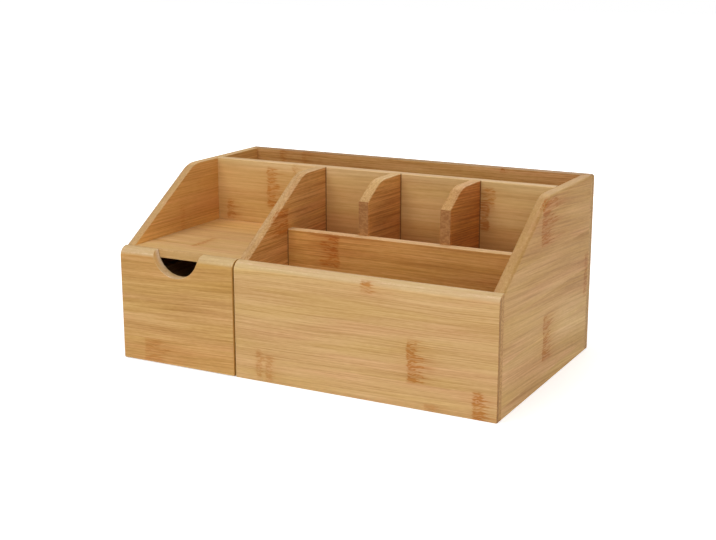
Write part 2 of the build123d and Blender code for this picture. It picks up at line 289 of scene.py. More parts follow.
def bamboo(
    name, axes, shift, strip_start=20.0, ply_line=0.0, lean=0.0, contrast=1.0, fineness=0.85, bands=0.5,
    patches=0.35, tint=(1, 1, 1), tint_and_shade_steps=(), end_colour=end_grain, other_ends=(), end_depth=1.0,
    edge_tone_and_light=(1.12, 1.22, 1.50), slope=1.0, marks=(), seams=(),
):
    """A board's own bamboo. Axes say which way the grain, the strips and the plies run on it.

    Places are in millimetres along these three, and the shift picks another stretch of bamboo. Lean is
    in degrees. The steps of tint and the other ends change the tint and the end colour between two places
    along an axis; many steps of tint are painted shade and painted light: warmer and darker down in the
    bays and on inner faces, and lighter where bounce light and top light fall. Slope is 0 on a board with
    slanting faces that aren't a sawn slope. Marks are joints of the stalk: start, length, low and high
    side, surface, strength. Seams are dark brown lines painted where another board meets this one, and
    at the drawer front they are painted shade in its gap: place, surface, depth, colour.
    """
    material = bpy.data.materials.new(name)
    material.use_nodes = True
    tree = material.node_tree
    coordinates = add_node(tree, "TexCoord").outputs
    vectors = {}
    for output, size in (("Object", 1 / mm), ("Normal", 1.0)):
        parts = add_node(tree, "SeparateXYZ", {0: coordinates[output]}).outputs
        turned = add_node(tree, "CombineXYZ", {i: parts["XYZ".index(axis)] for i, axis in enumerate(axes)})
        scaled = add_node(tree, "VectorMath", {0: turned.outputs[0], "Scale": size}, operation="SCALE")
        vectors[output] = scaled.outputs[0]
    grain = add_node(tree, "Group", node_tree=grain_pattern)
    tree.links.new(vectors["Object"], grain.inputs["Place"])
    tree.links.new(vectors["Normal"], grain.inputs["Facing"])
    for socket, value in (
        ("Shift", shift), ("Strip start", strip_start), ("Ply line", ply_line), ("Contrast", contrast),
        ("Lean", -math.tan(math.radians(lean))), ("Fineness", fineness), ("Bands", bands),
        ("Patches", patches), ("End colour", end_colour), ("End depth", end_depth),
        ("Tint", (*tint, 1)), ("Edge tone and light", (*edge_tone_and_light, 1)), ("Slope", slope),
    ):
        grain.inputs[socket].default_value = value
    place = add_node(tree, "SeparateXYZ", {0: vectors["Object"]}).outputs
    for socket, shade, changes in (("Tint", (*tint, 1), tint_and_shade_steps), ("End colour", end_colour, other_ends)):
        for axis, start, end, other in changes:
            shade = blend_colours(tree, fade(tree, place[axis], start, end), shade, other)
            tree.links.new(shade, grain.inputs[socket])
    colour = grain.outputs["Color"]
    for start, length, low, high, surface, strength in marks:
        mark = add_node(tree, "Group", node_tree=node_mark)
        tree.links.new(vectors["Object"], mark.inputs["Place"])
        for socket, value in (
            ("Start", start), ("Length", abs(length)), ("Way", math.copysign(1, length)),
            ("Low", low), ("High", high), ("Surface", surface), ("Strength", strength),
        ):
            mark.inputs[socket].default_value = value
        browned = blend_colours(tree, 1.0, colour, ratio_of(node_brown), "MULTIPLY")
        colour = blend_colours(tree, mark.outputs["Mask"], colour, browned)
    for seam, surface, depth, brown in seams:
        beside = calculate(tree, "ABSOLUTE", calculate(tree, "SUBTRACT", place[0], seam))
        under = calculate(tree, "ABSOLUTE", calculate(tree, "SUBTRACT", place[2], surface))
        beside = fade(tree, beside, seam_half + seam_blur, seam_half)
        under = fade(tree, under, depth + seam_blur_inward, depth)
        glue = calculate(tree, "MULTIPLY", beside, under)
        colour = blend_colours(tree, calculate(tree, "MULTIPLY", glue, seam_strength), colour, brown)
    shader = tree.nodes["Principled BSDF"]
    tree.links.new(colour, shader.inputs["Base Color"])
    sheen = {"Value": grain.outputs["Streak"], "To Min": 0.42, "To Max": 0.60}
    tree.links.new(add_node(tree, "MapRange", sheen).outputs[0], shader.inputs["Roughness"])
    shader.inputs["Specular IOR Level"].default_value = 0.25
    relief = {"Height": grain.outputs["Height"], "Strength": 0.3, "Distance": 0.12 * mm}
    tree.links.new(add_node(tree, "Bump", relief).outputs[0], shader.inputs["Normal"])
    return material


def dress(node, material):
    """Gives a piece that stays as the frame has it the material that it really has."""
    nodes[node].material_slots[0].material = material


flat_axes = "XYZ"
base_low, base_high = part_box("base_panel")
dress("base_panel", bamboo("base bamboo", flat_axes, (310, 40, 7), ply_line=3.0))


# Left side panel. The outer wall beside the shelf and the drawer, one 8.5 mm board with its grain along
# the depth. It is sawn to a slope with a rounded corner, and its top edges are sanded round by hand.

left_low, left_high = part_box("left_side_panel")
front_low, front_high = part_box("front_panel")
eased_edge, eased_steps = 0.8 * mm, 3
outer_rounding, outer_steps = 2.5 * mm, 5
slope_corner_radius, slope_corner_steps = 25.0 * mm, 8
slope_run = 96.0 * mm
spare = 1.0 * mm  # how far a tool reaches past the face that it cuts
near = 0.1 * mm  # how close two places are that count as one
weld, fine_weld = 0.01 * mm, 0.001 * mm
smooth_angle = math.radians(35)
hole_sides = 24


def sawn_board(name, low, high):
    """A board sawn square to its size, at its place."""
    bpy.ops.object.select_all(action="DESELECT")
    bpy.ops.mesh.primitive_cube_add(size=1, location=(low + high) / 2)
    board = bpy.context.object
    board.name = board.data.name = name
    board.scale = high - low
    bpy.ops.object.transform_apply(location=True, rotation=True, scale=True)
    return board


def edit(board, chosen=None):
    """Opens a board in edit mode. All of it is selected, or only edges, chosen by their two ends."""
    bpy.context.view_layer.objects.active = board
    bpy.ops.object.mode_set(mode="EDIT")
    bpy.ops.mesh.select_mode(type="EDGE")
    bpy.ops.mesh.select_all(action="SELECT" if chosen is None else "DESELECT")
    if chosen:
        shape = bmesh.from_edit_mesh(board.data)
        for edge in shape.edges:
            if chosen(*[corner.co for corner in edge.verts]):
                edge.select_set(True)
        bmesh.update_edit_mesh(board.data)


def round_edges(board, chosen, width, segments):
    """Rounds the chosen edges of a board over the same width on both faces beside them."""
    edit(board, chosen)
    bpy.ops.mesh.bevel(offset=width, segments=segments, affect="EDGES")
    bpy.ops.object.mode_set(mode="OBJECT")


def sloped_board(name, low, high, outer=None):
    """A wall with the slope, the rounded corner and the eased top edges that all the walls share.

    An outer wall has its top edges rounded more on its outer face.
    """
    board = sawn_board(name, low, high)
    corner = Vector((0, front_low.y + slope_run, left_high.z))
    rise, run = corner.z - front_high.z, corner.y - front_high.y
    edit(board)
    bpy.ops.mesh.bisect(plane_co=corner, plane_no=(0, -rise, run), use_fill=True, clear_outer=True)
    bpy.ops.object.mode_set(mode="OBJECT")
    half_turn = math.atan2(rise, run) / 2
    round_edges(
        board,
        lambda a, b: all((end - corner).yz.length < near for end in (a, b)),
        slope_corner_radius * math.tan(half_turn),
        slope_corner_steps,
    )
    for side in (low.x, high.x):
        round_edges(
            board,
            lambda a, b: max(abs(a.x - side), abs(b.x - side)) < near
            and (a.z + b.z) / 2 > front_high.z + near,
            outer_rounding if side == outer else eased_edge,
            outer_steps if side == outer else eased_steps,
        )
    return board


def combine(board, tool, operation):
    """Cuts a tool's shape out of a board, or joins it on, and takes the tool away."""
    change = board.modifiers.new("joint", "BOOLEAN")
    change.operation = operation
    change.object = tool
    bpy.context.view_layer.objects.active = board
    bpy.ops.object.modifier_apply(modifier=change.name)
    bpy.data.objects.remove(tool)


def groove(board, low, high):
    """Cuts a groove, rebate or housing between two corners."""
    combine(board, sawn_board("tool", Vector(low), Vector(high)), "DIFFERENCE")


def tongue(board, low, high):
    """Leaves a tongue on a board between two corners."""
    combine(board, sawn_board("tool", Vector(low), Vector(high)), "UNION")


def drill(board, board_low, board_high, dowels):
    """Drills the blind holes for the dowels that stand between the two sides of a board."""
    for low, high in dowels:
        if board_low.x < low.x < board_high.x:
            bpy.ops.object.select_all(action="DESELECT")
            bpy.ops.mesh.primitive_cylinder_add(
                vertices=hole_sides, radius=(high.x - low.x) / 2, depth=high.y - low.y,
                location=(low + high) / 2, rotation=(math.pi / 2, 0, 0),
            )
            combine(board, bpy.context.object, "DIFFERENCE")


def dowel_boxes(node):
    """The box of each dowel of a node, which holds several apart from each other."""
    bpy.ops.object.select_all(action="DESELECT")
    copy = nodes[node].copy()
    copy.data = nodes[node].data.copy()
    copy.parent = None
    bpy.context.collection.objects.link(copy)
    copy.select_set(True)
    bpy.context.view_layer.objects.active = copy
    bpy.ops.object.mode_set(mode="EDIT")
    bpy.ops.mesh.select_all(action="SELECT")
    bpy.ops.mesh.remove_doubles(threshold=weld)
    bpy.ops.mesh.separate(type="LOOSE")
    bpy.ops.object.mode_set(mode="OBJECT")
    boxes = []
    for dowel in list(bpy.context.selected_objects):
        places = [corner.co for corner in dowel.data.vertices]
        low = Vector([min(place[i] for place in places) for i in range(3)])
        high = Vector([max(place[i] for place in places) for i in range(3)])
        boxes.append((low, high))
        bpy.data.objects.remove(dowel)
    return boxes


def finish_board(board, material, body, node):
    """Sands a board smooth, gives it its bamboo, and lets it stand for its node on its body."""
    edit(board)
    bpy.ops.mesh.remove_doubles(threshold=fine_weld)
    bpy.ops.object.mode_set(mode="OBJECT")
    bpy.ops.object.select_all(action="DESELECT")
    board.select_set(True)
    bpy.ops.object.shade_smooth_by_angle(angle=smooth_angle)
    flatter = board.modifiers.new("flat faces", "WEIGHTED_NORMAL")
    flatter.keep_sharp = True
    bpy.ops.object.modifier_apply(modifier=flatter.name)
    board.data.materials.clear()
    board.data.materials.append(material)
    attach(board, body)
    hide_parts(node)


side_axes = "YZX"
rear_low, rear_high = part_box("rear_divider")
shelf_low, shelf_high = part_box("shelf")
back_dowels = dowel_boxes("back_dowels")
front_dowels = dowel_boxes("front_dowels")
tongue_half = 4.5 * mm / 2
tongue_stop = 12.0 * mm
tongue_top = left_high.z - tongue_stop
rear_middle = (rear_low.y + rear_high.y) / 2
shelf_tongue_top = (shelf_low.z + shelf_high.z) / 2

left_side = sloped_board("left_side_board", left_low, left_high, left_low.x)
groove(
    left_side,
    (base_low.x, base_low.y - spare, base_low.z - spare),
    (left_high.x + spare, base_high.y + spare, base_high.z),
)
groove(
    left_side,
    (rear_low.x, rear_middle - tongue_half, base_high.z),
    (left_high.x + spare, rear_middle + tongue_half, tongue_top),
)
groove(
    left_side,
    (shelf_low.x, shelf_low.y - spare, shelf_low.z),
    (left_high.x + spare, shelf_high.y, shelf_tongue_top),
)
drill(left_side, left_low, left_high, back_dowels)
finish_board(
    left_side,
    bamboo(
        "left side bamboo", side_axes, (40, 190, 60), strip_start=24.0, ply_line=-160.7,
        # Painted shade and bounce light: a warmer, darker inner face than the outer one, and a lighter band
        # at the foot of the inner face, just above the shelf.
        tint=(1.05, 0.85, 0.55), edge_tone_and_light=(1.04, 1.14, 1.36),
        tint_and_shade_steps=[(1, 109.0, 95.0, (1.26, 1.08, 0.74, 1)), (2, -160.0, -161.0, (0.98, 0.95, 0.88, 1))],
        marks=[(-12, 11, 56, 88, -165, 0.8), (58, -10, 24, 56, -165, 0.7), (-30, 9, 88, 119, -156.5, 0.25)],
    ),
    "carcass",
    "left_side_panel",
)


# Right side panel. The same profile on the other side, beside the open bays. Its ends are covered by
# the front and the back panel, and glued to them with dowels.

right_low, right_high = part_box("right_side_panel")
low_low, low_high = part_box("low_divider")
low_middle = (low_low.y + low_high.y) / 2
low_tongue_top = low_high.z - tongue_stop

right_side = sloped_board("right_side_board", right_low, right_high, right_high.x)
groove(
    right_side,
    (right_low.x - spare, base_low.y - spare, base_low.z - spare),
    (base_high.x, base_high.y + spare, base_high.z),
)
for middle, top in ((rear_middle, tongue_top), (low_middle, low_tongue_top)):
    groove(
        right_side,
        (right_low.x - spare, middle - tongue_half, base_high.z),
        (rear_high.x, middle + tongue_half, top),
    )
drill(right_side, right_low, right_high, front_dowels + back_dowels)
finish_board(
    right_side,
    bamboo(
        "right side bamboo", side_axes, (220, 90, 500), strip_start=22.0, ply_line=161.0, lean=-4.5,
        contrast=0.95, fineness=0.7, bands=1.1, patches=0.4, tint=(1.11, 1.11, 1.07),
        tint_and_shade_steps=[(1, 34.0, 66.0, (0.99, 0.92, 0.79, 1)), (1, 90.0, 118.0, (0.96, 0.86, 0.70, 1))],
        edge_tone_and_light=(0.90, 0.88, 0.81),
        marks=[(-10, 17, 19, 56, 165, 0.9), (-20, 30, 112, 147, 165, 0.9), (86, 9, 48, 84, 165, 0.8)],
    ),
    "carcass",
    "right_side_panel",
)


# Back panel. One board of the full width and height, with its grain along the width, doweled over the
# back ends of both sides. Its outer edges are eased all round.

upright_axes = "XZY"
back_low, back_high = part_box("back_panel")

back = sawn_board("back_board", back_low, back_high)
for inner in (left_high.x, right_low.x):
    edit(back)
    bpy.ops.mesh.bisect(plane_co=(inner, 0, 0), plane_no=(1, 0, 0))
    bpy.ops.object.mode_set(mode="OBJECT")


def top_end(a, b):
    """The two short edges at the ends of the top."""
    at_top = min(a.z, b.z) > back_high.z - near
    return at_top and abs(a.y - b.y) > spare and min(abs(a.x), abs(b.x)) > back_high.x - near


def round_the_back_face(a, b):
    """All the edges round the back face, with the rounding at both ends of its top."""
    rounded = outer_rounding + spare / 2
    for end in (a, b):
        at_corner = abs(end.x) > back_high.x - rounded and end.z > back_high.z - rounded
        at_side = abs(end.x) > back_high.x - near
        at_top_or_bottom = end.z > back_high.z - near or end.z < near
        if end.y < back_high.y - near or not (at_corner or at_side or at_top_or_bottom):
            return False
    return abs(a.x - b.x) < spare or abs(a.z - b.z) < spare


def top_inside(a, b):
    """The inner top edge, only between the two side panels."""
    at_top = min(a.z, b.z) > back_high.z - near and max(a.y, b.y) < back_low.y + near
    return at_top and max(abs(a.x), abs(b.x)) < right_low.x + near


round_edges(back, top_end, outer_rounding, outer_steps)
round_edges(back, round_the_back_face, eased_edge, eased_steps)
round_edges(back, top_inside, eased_edge, eased_steps)
drill(back, back_low, back_high, back_dowels)
finish_board(
    back,
    bamboo(
        "back bamboo", upright_axes, (900, 70, 20), strip_start=18.0, ply_line=98.5, contrast=1.5,
        # Painted shade: the inner face, in the narrow tray, is warmer and darker than the outer face.
        tint=(0.98, 0.95, 0.90), tint_and_shade_steps=[(2, 99.5, 97.5, (0.94, 0.80, 0.61, 1))],
        edge_tone_and_light=(0.58, 0.57, 0.64), end_colour=(0.67, 0.41, 0.167, 1),
        marks=[
            (-131, 8, 135, 150, 94.25, 0.55), (-108, 9, 135, 150, 94.25, 0.4), (86, 4, 146, 149, 94.25, 1.2),
            (-70, 12, 50, 82, 102.75, 0.8), (84, 11, 82, 114, 102.75, 0.7), (10, -12, 114, 146, 102.75, 0.6),
            (120, 12, 18, 50, 102.75, 0.7), (-128, 11, 0, 18, 102.75, 0.6),
        ],
    ),
    "carcass",
    "back_panel",
)


# Rear divider. The tall board in front of the back tray, from side to side, with a stopped tongue at
# both ends and a groove for each wall that meets it. Only its two long top edges are eased.

partition_low, partition_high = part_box("partition")
short_boxes = {side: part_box("short_divider_" + side) for side in ("left", "right")}
housing_depth = 2.5 * mm


def ease_top(board, along):
    """Eases the two long top edges of a plain board that runs along an axis."""
    top = max(corner.co.z for corner in board.data.vertices)
    round_edges(
        board,
        lambda a, b: min(a.z, b.z) > top - near and abs(a[along] - b[along]) > spare,
        eased_edge,
        eased_steps,
    )


rear = sawn_board(
    "rear_divider_board",
    Vector((left_high.x, rear_low.y, rear_low.z)),
    Vector((right_low.x, rear_high.y, rear_high.z)),
)
ease_top(rear, 0)
for start, end in ((rear_low.x, left_high.x + spare), (right_low.x - spare, rear_high.x)):
    tongue(
        rear,
        (start, rear_middle - tongue_half, base_high.z),
        (end, rear_middle + tongue_half, tongue_top),
    )
for low, high in ((partition_low, partition_high), *short_boxes.values()):
    middle = (low.x + high.x) / 2
    groove(
        rear,
        (middle - tongue_half, rear_low.y - spare, base_high.z - spare),
        (middle + tongue_half, rear_low.y + housing_depth, tongue_top),
    )
finish_board(
    rear,
    bamboo(
        "rear divider bamboo", upright_axes, (400, 130, 80), strip_start=15.0, ply_line=33.0, fineness=0.65,
        contrast=0.7, bands=1.0, patches=0.2, tint=(1.04, 1.05, 0.94),
        # Painted shade and light: warmer and darker lower down in the bays, one even tint in the left bay
        # over the shelf, and paler and whiter along the top.
        tint_and_shade_steps=[
            (1, 138.0, 125.0, (0.95, 0.87, 0.70, 1)), (1, 118.0, 104.0, (1.00, 0.82, 0.61, 1)),
            (0, -50.0, -60.0, (1.00, 0.96, 0.78, 1)), (1, 139.0, 148.0, (1.11, 1.22, 1.26, 1)),
        ],
        edge_tone_and_light=(1.13, 1.25, 1.60), seams=[(x, 28.75, 0.3, glue_and_seam_brown) for x in (-46.8, 23.9, 94.5)],
        marks=[
            (-105, 11, 109, 144, 28.75, 0.9), (-147, 8, 96, 112, 28.75, 0.8),
            (107, -11, 128, 143, 28.75, 0.8), (102, -9, 109, 132, 28.75, 1.2),
            (-79, 5, 140, 149, 28.75, 0.5),
        ],
    ),
    "carcass",
    "rear_divider",
)


# Partition. The same profile again, between the drawer with its shelf and the open bays. It ends at the
# rear divider, with a tongue in it, and its front end is doweled to the front panel.

partition = sloped_board(
    "partition_board", partition_low, Vector((partition_high.x, rear_low.y, partition_high.z))
)
middle = (partition_low.x + partition_high.x) / 2
tongue(
    partition,
    (middle - tongue_half, rear_low.y - spare, base_high.z),
    (middle + tongue_half, rear_low.y + housing_depth, tongue_top),
)
groove(
    partition,
    (partition_low.x - spare, shelf_low.y - spare, shelf_low.z),
    (shelf_high.x, shelf_high.y, shelf_tongue_top),
)
groove(
    partition,
    (low_low.x, low_middle - tongue_half, base_high.z - spare),
    (partition_high.x + spare, low_middle + tongue_half, low_tongue_top),
)
drill(partition, partition_low, partition_high, front_dowels)
finish_board(
    partition,
    bamboo(
        "partition bamboo", side_axes, (150, 20, 330), strip_start=8.0, ply_line=-51.5, contrast=1.8,
        # Painted shade: the right face, toward the open bays, is warmer and more saturated than the left
        # face.
        tint=(0.98, 0.90, 0.78), tint_and_shade_steps=[(2, -51.8, -50.8, (1.12, 0.88, 0.60, 1))],
        edge_tone_and_light=(1.00, 1.05, 1.22),
        marks=[(-34, -24, 103, 125, -47, 1.0)],
    ),
    "carcass",
    "partition",
)


# Shelf. The roof of the drawer and the floor of the bay above it, with its grain along the width. A
# tongue along both ends sits in the left side and in the partition.

shelf = sawn_board(
    "shelf_board",
    Vector((left_high.x, shelf_low.y, shelf_low.z)),
    Vector((partition_low.x, shelf_high.y, shelf_high.z)),
)
for start, end in ((shelf_low.x, left_high.x + spare), (partition_low.x - spare, shelf_high.x)):
    tongue(shelf, (start, shelf_low.y, shelf_low.z), (end, shelf_high.y, shelf_tongue_top))
finish_board(
    shelf,
    bamboo(
        "shelf bamboo", flat_axes, (640, 300, 10), strip_start=-90.0, ply_line=90.5, contrast=1.2,
        tint=(0.92, 0.90, 0.85), tint_and_shade_steps=[(1, -20.0, 5.0, (1.01, 0.96, 0.80, 1))],
        edge_tone_and_light=(0.93, 0.93, 0.86),
        marks=[(-116, 6, -74, -42, 94, 0.7)],
    ),
    "carcass",
    "shelf",
)


# Low divider. A board across the open bays, a little higher than the front panel, with a tongue at both
# ends. The short dividers are housed in its back.

low_divider = sawn_board(
    "low_divider_board",
    Vector((partition_high.x, low_low.y, low_low.z)),
    Vector((right_low.x, low_high.y, low_high.z)),
)
ease_top(low_divider, 0)
for start, end in ((low_low.x, partition_high.x + spare), (right_low.x - spare, low_high.x)):
    tongue(
        low_divider,
        (start, low_middle - tongue_half, base_high.z),
        (end, low_middle + tongue_half, low_tongue_top),
    )
for low, high in short_boxes.values():
    groove(
        low_divider,
        (low.x, low_high.y - housing_depth, base_high.z - spare),
        (high.x, low_high.y + spare, low_high.z + spare),
    )
finish_board(
    low_divider,
    bamboo(
        "low divider bamboo", upright_axes, (520, 210, 150), strip_start=8.0, ply_line=-30.5, contrast=1.4,
        tint=(0.99, 0.90, 0.76), seams=[(-46.9, -34.75, 0.3, glue_and_seam_brown)],
        tint_and_shade_steps=[
            (0, 60.0, 130.0, (0.90, 0.76, 0.64, 1)), (2, -30.0, -31.0, (1.05, 0.83, 0.51, 1)),
            (0, -5.0, -40.0, (1.12, 0.94, 0.56, 1)), (0, 40.0, 100.0, (0.90, 0.69, 0.42, 1)),
        ],
        marks=[(0, -16, 80, 107, -34.75, 0.95), (88, 12, 40, 72, -26.25, 0.6)],
    ),
    "carcass",
    "low_divider",
)


# Short dividers. Two boards with the same slope and corner, between the low divider and the rear
# divider. Their front ends stand in the low divider's housings and show end grain above it.

# Painted shade: the right divider is darker and redder than the left, and both darken lower down in the
# bays.
short_bamboo = {
    "left": {
        "shift": (75, 33, 410), "strip_start": 12.0, "lean": -2.0, "tint": (1.06, 0.76, 0.46),
        "tint_and_shade_steps": [(1, 128.0, 106.0, (0.98, 0.68, 0.39, 1))], "edge_tone_and_light": (1.10, 1.22, 1.38),
    },
    "right": {
        "shift": (375, 33, 410), "strip_start": 21.0, "lean": -5.0, "tint": (0.99, 0.62, 0.32),
        "tint_and_shade_steps": [(1, 128.0, 106.0, (0.91, 0.55, 0.26, 1))], "edge_tone_and_light": (1.02, 1.04, 1.07),
    },
}
short_ply = 5.0

for side, (low, high) in short_boxes.items():
    short = sloped_board(f"short_divider_{side}_board", low, Vector((high.x, rear_low.y, high.z)))
    middle = (low.x + high.x) / 2
    tongue(
        short,
        (middle - tongue_half, rear_low.y - spare, base_high.z),
        (middle + tongue_half, rear_low.y + housing_depth, tongue_top),
    )
    finish_board(
        short,
        bamboo(
            f"short divider {side} bamboo", side_axes, ply_line=low.x / mm - short_ply, contrast=1.9,
            end_colour=(0.42, 0.19, 0.058, 1), **short_bamboo[side],
        ),
        "carcass",
        "short_divider_" + side,
    )


# Front panel. The wide fixed board in front of the open bays, doweled over the ends of the partition and
# the right side. Its top is rounded nearly through, and the edges of its front face are just broken.

front_rounding, front_steps = 7.5 * mm, 12
fine_edge, fine_steps = 0.5 * mm, 2


def front_board(name, low, high, left_end, left_steps):
    """A board with the rounded top that the front panel and the drawer front share.

    The other edges of its front face are just broken, but those of its left end are as wide as is said.
    """
    board = sawn_board(name, low, high)
    round_edges(
        board,
        lambda a, b: min(a.z, b.z) > high.z - near and max(a.y, b.y) < low.y + near,
        front_rounding,
        front_steps,
    )
    for side, width, steps in ((low.x, left_end, left_steps), (high.x, fine_edge, fine_steps)):
        round_edges(
            board,
            lambda a, b: max(abs(a.x - side), abs(b.x - side)) < near and max(a.y, b.y) < high.y - near,
            width,
            steps,
        )
    round_edges(
        board,
        lambda a, b: max(a.z, b.z) < low.z + near and max(a.y, b.y) < high.y - near,
        fine_edge,
        fine_steps,
    )
    return board


front_panel = front_board("front_board", front_low, front_high, fine_edge, fine_steps)
drill(front_panel, front_low, front_high, front_dowels)
finish_board(
    front_panel,
    bamboo(
        "front bamboo", upright_axes, (0, 0, 0), strip_start=20.0, ply_line=-99.6, lean=0.8, bands=0.3,
        tint=(1.02, 1.03, 1.01), edge_tone_and_light=(0.98, 1.13, 1.38),
        tint_and_shade_steps=[(1, 48.0, 66.0, (0.945, 0.91, 0.83, 1)), (1, 76.0, 87.0, (1.03, 1.05, 1.02, 1))],
        end_colour=(0.615, 0.345, 0.122, 1), other_ends=[(2, -100.0, -100.6, (0.50, 0.26, 0.080, 1))],
        marks=[
            (94, 12.5, 20, 52, -102.25, 1.0), (-36, 7, 3, 26, -102.25, 0.5), (-27.5, 8, 2, 22, -102.25, 0.5),
            (146, 12, -4, 21, -102.25, 1.0), (55, 14, 83, 92, -102.25, 0.9), (109, 10, 1, 5.5, -102.25, 0.5),
        ],
    ),
    "carcass",
    "front_panel",
)


# Dowels of the carcass. Fluted beech pins glued in blind holes, four behind the front panel and six
# behind the back panel. None shows when the organizer is together.


def dowel_wood():
    """Pale, close-grained wood with its grain along the pin."""
    material = bpy.data.materials.new("dowel beech")
    material.use_nodes = True
    tree = material.node_tree
    place = add_node(tree, "TexCoord").outputs["Object"]
    flecks = cloud(tree, place, (1.5 / mm, 0.06 / mm, 1.5 / mm), 3.0, 0.6)
    ramp = add_node(tree, "ValToRGB", {"Fac": flecks})
    ramp.color_ramp.elements[0].color = (0.46, 0.30, 0.15, 1)
    ramp.color_ramp.elements[1].color = (0.66, 0.49, 0.29, 1)
    tree.links.new(ramp.outputs["Color"], tree.nodes["Principled BSDF"].inputs["Base Color"])
    tree.nodes["Principled BSDF"].inputs["Roughness"].default_value = 0.6
    return material


beech = dowel_wood()
dress("front_dowels", beech)
dress("back_dowels", beech)


# Drawer front. It covers the end of the left side panel, and stands 0.5 mm in front of the front panel.
# Its top is rounded in the same way, with a half-round notch sawn out for the finger.

notch_radius, notch_sides = 22.0 * mm, 96
notch_centre_above_top = 1.5 * mm
notch_corner_radius, notch_corner_steps = 2.5 * mm, 6
notch_opening = 8.0 * mm  # how much wider than the round the shape opens, above the top
notch_easing = 0.4 * mm
free_end_rounding, free_end_steps = 1.2 * mm, 4
drawer_low, drawer_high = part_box("drawer_front")
drawer_dowels = dowel_boxes("drawer_dowels")


def notch_tool():
    """The shape that is sawn out: a round, opened at the top, with both corners of its mouth rounded."""
    centre = (drawer_low + drawer_high) / 2
    centre.z = drawer_high.z + notch_centre_above_top
    bpy.ops.object.select_all(action="DESELECT")
    bpy.ops.mesh.primitive_cylinder_add(
        vertices=notch_sides, radius=notch_radius, depth=drawer_high.y - drawer_low.y + 2 * spare,
        location=centre, rotation=(math.pi / 2, 0, 0),
    )
    tool = bpy.context.object
    bpy.ops.object.transform_apply(location=True, rotation=True, scale=True)
    wide = notch_radius + notch_opening
    tongue(
        tool,
        (centre.x - wide, drawer_low.y - spare, drawer_high.z),
        (centre.x + wide, drawer_high.y + spare, drawer_high.z + wide),
    )
    mouth = math.sqrt(notch_radius**2 - notch_centre_above_top**2)

    def at_mouth(a, b):
        """The two edges across the board's thickness where the round meets its top."""
        return abs(a.y - b.y) > spare and all(
            abs(abs(end.x - centre.x) - mouth) < spare / 2 and abs(end.z - drawer_high.z) < near
            for end in (a, b)
        )

    round_edges(tool, at_mouth, notch_corner_radius, notch_corner_steps)
    return tool


def ease_the_notch(board):
    """Sands the front edge of the notch, where its inner surface meets the front face and its rounding."""
    edit(board)
    bpy.ops.mesh.remove_doubles(threshold=weld)
    bpy.ops.mesh.select_all(action="DESELECT")
    shape = bmesh.from_edit_mesh(board.data)
    middle = (drawer_low.x + drawer_high.x) / 2
    reach = notch_radius + notch_corner_radius + 1.5 * spare
    forward, sideways = -0.02, 0.001  # the front's faces look forward, and the notch's own don't
    for edge in shape.edges:
        turns = sorted(face.normal.y for face in edge.link_faces)
        beside = max(abs(corner.co.x - middle) for corner in edge.verts) < reach
        above = min(corner.co.z for corner in edge.verts) > drawer_high.z - notch_radius - spare
        if beside and above and len(turns) == 2 and turns[0] < forward and abs(turns[1]) < sideways:
            edge.select_set(True)
    bmesh.update_edit_mesh(board.data)
    bpy.ops.mesh.bevel(offset=notch_easing, segments=eased_steps, affect="EDGES")
    bpy.ops.object.mode_set(mode="OBJECT")


drawer_front = front_board(
    "drawer_front_board", drawer_low, drawer_high, free_end_rounding, free_end_steps
)
combine(drawer_front, notch_tool(), "DIFFERENCE")
ease_the_notch(drawer_front)
bottom_low, bottom_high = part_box("drawer_bottom")
groove(drawer_front, bottom_low, (bottom_high.x, drawer_high.y + spare, bottom_high.z))
drill(drawer_front, drawer_low, drawer_high, drawer_dowels)
finish_board(
    drawer_front,
    bamboo(
        "drawer front bamboo", upright_axes, (260, 55, 30), strip_start=20.0, ply_line=-90.0, lean=2.0,
        contrast=1.1, fineness=0.65, bands=1.0, patches=0.4, tint=(0.955, 0.89, 0.74),
        tint_and_shade_steps=[(1, 34.0, 10.0, (0.955, 0.87, 0.64, 1)), (1, 64.0, 72.0, (0.885, 0.79, 0.55, 1))],
        end_colour=(0.74, 0.55, 0.36, 1), end_depth=0.3,
        # Painted shade in the gap beside the front panel: the browner right end, and the brown line down it.
        other_ends=[
            (2, -95.0, -100.5, (0.70, 0.41, 0.15, 1)), (0, -72.0, -66.0, (0.70, 0.40, 0.10, 1)),
            (0, -150.0, -155.0, end_grain),
        ],
        edge_tone_and_light=(0.95, 1.10, 1.38), slope=0.0, seams=[(-56.3, -102.75, 0.6, (0.42, 0.185, 0.035, 1))],
        marks=[(-143, 22, 1, 20, -102.75, 0.5)],
    ),
    "drawer",
    "drawer_front",
)


# Drawer box. Two 7 mm sides doweled to the front, a back let into their ends, and a thin bottom in a
# groove all round. The upper edges are eased, and the grain runs along each board.

back_box_low, back_box_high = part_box("drawer_back")

for number, side in enumerate(("left", "right")):
    low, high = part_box(f"drawer_{side}_side")
    drawer_side = sawn_board(f"drawer_{side}_side_board", low, high)
    ease_top(drawer_side, 1)
    groove(drawer_side, bottom_low, bottom_high)
    groove(
        drawer_side,
        (back_box_low.x, back_box_low.y, low.z - spare),
        (back_box_high.x, high.y + spare, high.z + spare),
    )
    drill(drawer_side, low, high, drawer_dowels)
    finish_board(
        drawer_side,
        bamboo(
            f"drawer {side} side bamboo", side_axes, (500 + 80 * number, 70, 90), strip_start=30.0,
            ply_line=(low.x + high.x) / 2 / mm, marks=[(-20 + 12 * number, 10, 30, 62, high.x / mm, 0.5)],
        ),
        "drawer",
        f"drawer_{side}_side",
    )

